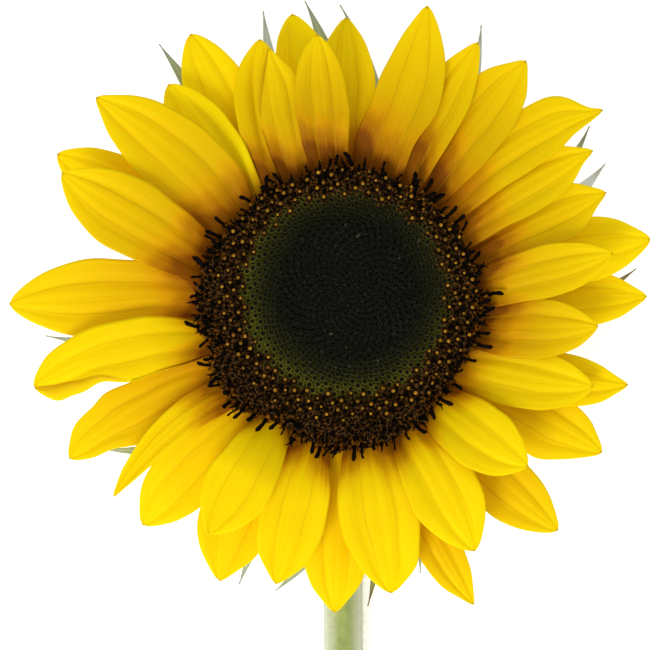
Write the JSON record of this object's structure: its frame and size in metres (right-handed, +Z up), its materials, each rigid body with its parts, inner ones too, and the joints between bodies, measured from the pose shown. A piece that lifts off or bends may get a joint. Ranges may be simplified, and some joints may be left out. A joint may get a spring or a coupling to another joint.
{
  "type": "cut sunflower",
  "caption": "Open sunflower bloom with overlapping yellow petals round a dark disc, on a short cut stem, lying face up.",
  "frame": {"origin": "on the floor, under the middle of the plant's box", "axes": "+Z up out of the bloom's face, -Y along the stem to its cut end, +X to the bloom's right"},
  "size_m": [0.1506, 0.282, 0.0474],
  "materials": {
    "stem_green": "smooth fresh green stem with fine hairs",
    "cup_green": "matt soft green back of the head",
    "disc_buds": "very dark green closed buds, finely bumpy",
    "open_florets": "dark brown open florets with small orange tips",
    "petal_yellow": "satin yellow petal with fine lengthwise veins",
    "petal_yellow_back": "satin deeper yellow petal with fine lengthwise veins",
    "bract_green": "grey-green, downy, with pale edges"
  },
  "bodies": {
    "root": {"stem": "stem_green", "receptacle": "cup_green", "disc": "disc_buds", "floret_ring": "open_florets", "petal_01": "petal_yellow_back", "petal_02": "petal_yellow", "petal_03": "petal_yellow_back", "petal_04": "petal_yellow", "petal_05": "petal_yellow_back", "petal_06": "petal_yellow_back", "petal_07": "petal_yellow_back", "petal_08": "petal_yellow", "petal_09": "petal_yellow", "petal_10": "petal_yellow_back", "petal_11": "petal_yellow_back", "petal_12": "petal_yellow", "petal_13": "petal_yellow", "petal_14": "petal_yellow", "petal_15": "petal_yellow", "petal_16": "petal_yellow", "petal_17": "petal_yellow", "petal_18": "petal_yellow_back", "petal_19": "petal_yellow", "petal_20": "petal_yellow_back", "petal_21": "petal_yellow", "petal_22": "petal_yellow_back", "petal_23": "petal_yellow", "petal_24": "petal_yellow_back", "petal_25": "petal_yellow", "petal_26": "petal_yellow_back", "petal_27": "petal_yellow", "petal_28": "petal_yellow_back", "petal_29": "petal_yellow", "petal_30": "petal_yellow_back", "petal_31": "petal_yellow", "petal_32": "petal_yellow_back", "petal_33": "petal_yellow", "petal_34": "petal_yellow_back", "petal_35": "petal_yellow", "petal_36": "petal_yellow_back", "petal_37": "petal_yellow", "bract_01": "bract_green", "bract_02": "bract_green", "bract_03": "bract_green", "bract_04": "bract_green", "bract_05": "bract_green", "bract_06": "bract_green", "bract_07": "bract_green", "bract_08": "bract_green", "bract_09": "bract_green", "bract_10": "bract_green", "bract_11": "bract_green", "bract_12": "bract_green", "bract_13": "bract_green", "bract_14": "bract_green", "bract_15": "bract_green", "bract_16": "bract_green", "bract_17": "bract_green", "bract_18": "bract_green"}
  },
  "joints": []
}
